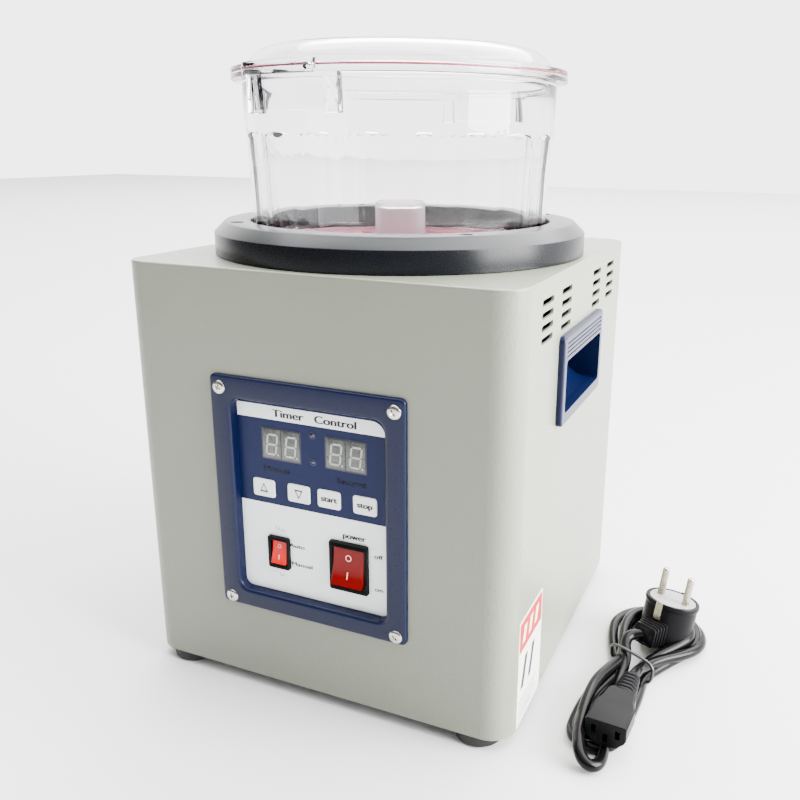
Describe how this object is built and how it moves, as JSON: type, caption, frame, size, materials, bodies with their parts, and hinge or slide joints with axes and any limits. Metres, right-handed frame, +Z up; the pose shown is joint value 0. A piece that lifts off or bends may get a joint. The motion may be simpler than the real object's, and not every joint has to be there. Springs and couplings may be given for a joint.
{
  "type": "magnetic tumbler",
  "caption": "Bench tumbler: square grey housing with timer panel, side grips, round collar and a clear fluted bowl with a domed lid; mains lead beside it.",
  "frame": {"origin": "on the standing surface under the middle of the housing", "axes": "+Z up; the control panel faces -Y; the side with the label faces +X"},
  "size_m": [0.3508, 0.258, 0.3923],
  "materials": {
    "housing_paint": "fine hammered grey enamel",
    "zinc_sheet": "plated sheet steel",
    "black_rubber": "matte moulded rubber",
    "black_anodised": "satin black anodised aluminium",
    "screw_steel": "bright plated screw steel",
    "black_screw": "black oxide screw",
    "pad_red": "soft silicone sheet",
    "clear_plastic": "clear moulded plastic",
    "gasket_red": "soft silicone ring",
    "frame_blue": "semi-gloss moulded plastic",
    "overlay_film": "printed matte film",
    "display_window": "smoked display window",
    "led_lens": "tinted lamp lens",
    "board_green": "solder mask",
    "key_white": "satin key cap",
    "black_plastic": "moulded nylon",
    "rocker_red": "tinted clear red rocker",
    "label_film": "printed vinyl label",
    "brass_blade": "plated brass",
    "nickel_pin": "nickel plated brass",
    "fuse_glass": "glass tube fuse",
    "motor_aluminium": "cast and turned aluminium",
    "lamination": "stacked laminations",
    "copper_winding": "varnished copper wire",
    "steel_shaft": "ground steel",
    "magnet_nickel": "nickel plated magnet",
    "fan_plastic": "moulded fan",
    "capacitor_can": "film capacitor can",
    "cord_black": "glossy black mains flex",
    "tie_black": "plastic coated wire tie"
  },
  "bodies": {
    "root": {"base_plate": "zinc_sheet", "base_screws": "screw_steel", "bezel_frame": "frame_blue", "bezel_screws": "screw_steel", "board_posts": "zinc_sheet", "bowl_pad": "pad_red", "collar_ring": "black_anodised", "collar_screws": "black_screw", "connector_body": "cord_black", "connector_contacts": "brass_blade", "control_board": "board_green", "cord_hank": "cord_black", "cord_tie": "tie_black", "feet": "black_rubber", "foot_screws": "screw_steel", "housing_shell": "housing_paint", "indicator_leds": "led_lens", "inlet_pins": "brass_blade", "inlet_screws": "screw_steel", "key_switches": "black_plastic", "left_cup_handle": "frame_blue", "mains_inlet": "black_plastic", "mode_switch_body": "black_plastic", "motor_bearings": "steel_shaft", "motor_capacitor": "capacitor_can", "motor_lower_bell": "motor_aluminium", "motor_pillars": "zinc_sheet", "motor_plate": "zinc_sheet", "motor_sleeve": "motor_aluminium", "motor_stator": "lamination", "motor_upper_bell": "motor_aluminium", "panel_overlay": "overlay_film", "panel_plate": "zinc_sheet", "plate_screws": "screw_steel", "plug_body": "cord_black", "plug_earth_clips": "nickel_pin", "plug_pins": "nickel_pin", "power_switch_body": "black_plastic", "right_cup_handle": "frame_blue", "side_label": "label_film", "stator_windings": "copper_winding", "time_displays": "display_window", "transformer": "lamination"},
    "rotor": {"motor_shaft": "steel_shaft", "rotor_core": "lamination", "motor_fan": "fan_plastic", "magnet_disc": "motor_aluminium", "disc_magnets": "magnet_nickel", "disc_hub": "motor_aluminium"},
    "bowl": {"bowl": "clear_plastic"},
    "lid": {"lid": "clear_plastic", "lid_gasket": "gasket_red"},
    "mode_rocker": {"mode_rocker": "rocker_red"},
    "power_rocker": {"power_rocker": "rocker_red"},
    "key_up": {"key_up": "key_white"},
    "key_down": {"key_down": "key_white"},
    "key_start": {"key_start": "key_white"},
    "key_stop": {"key_stop": "key_white"},
    "fuse_drawer": {"fuse_drawer": "black_plastic", "fuse": "fuse_glass"}
  },
  "joints": [
    {"name": "rotor_spin", "type": "hinge", "parent": "root", "child": "rotor", "pos_m": [0, 0, 0.2], "axis": [0, 0, 1], "continuous": true},
    {"name": "bowl_lift", "type": "slide", "parent": "root", "child": "bowl", "axis": [0, 0, 1], "range_m": [0, 0.12]},
    {"name": "lid_lift", "type": "slide", "parent": "bowl", "child": "lid", "axis": [0, 0, 1], "range_m": [0, 0.06]},
    {"name": "mode_rocker_tilt", "type": "hinge", "parent": "root", "child": "mode_rocker", "pos_m": [-0.0239, -0.1198, 0.0965], "axis": [1, 0, 0], "range_deg": [0, 22]},
    {"name": "power_rocker_tilt", "type": "hinge", "parent": "root", "child": "power_rocker", "pos_m": [0.0241, -0.1198, 0.097], "axis": [1, 0, 0], "range_deg": [0, 22]},
    {"name": "key_up_press", "type": "slide", "parent": "root", "child": "key_up", "axis": [0, 1, 0], "range_m": [0, 0.0005], "stiffness_N_per_m": 800, "springref_m": -0.0005},
    {"name": "key_down_press", "type": "slide", "parent": "root", "child": "key_down", "axis": [0, 1, 0], "range_m": [0, 0.0005], "stiffness_N_per_m": 800, "springref_m": -0.0005},
    {"name": "key_start_press", "type": "slide", "parent": "root", "child": "key_start", "axis": [0, 1, 0], "range_m": [0, 0.0005], "stiffness_N_per_m": 800, "springref_m": -0.0005},
    {"name": "key_stop_press", "type": "slide", "parent": "root", "child": "key_stop", "axis": [0, 1, 0], "range_m": [0, 0.0005], "stiffness_N_per_m": 800, "springref_m": -0.0005},
    {"name": "fuse_drawer_pull", "type": "slide", "parent": "root", "child": "fuse_drawer", "axis": [0, 1, 0], "range_m": [0, 0.019]}
  ]
}
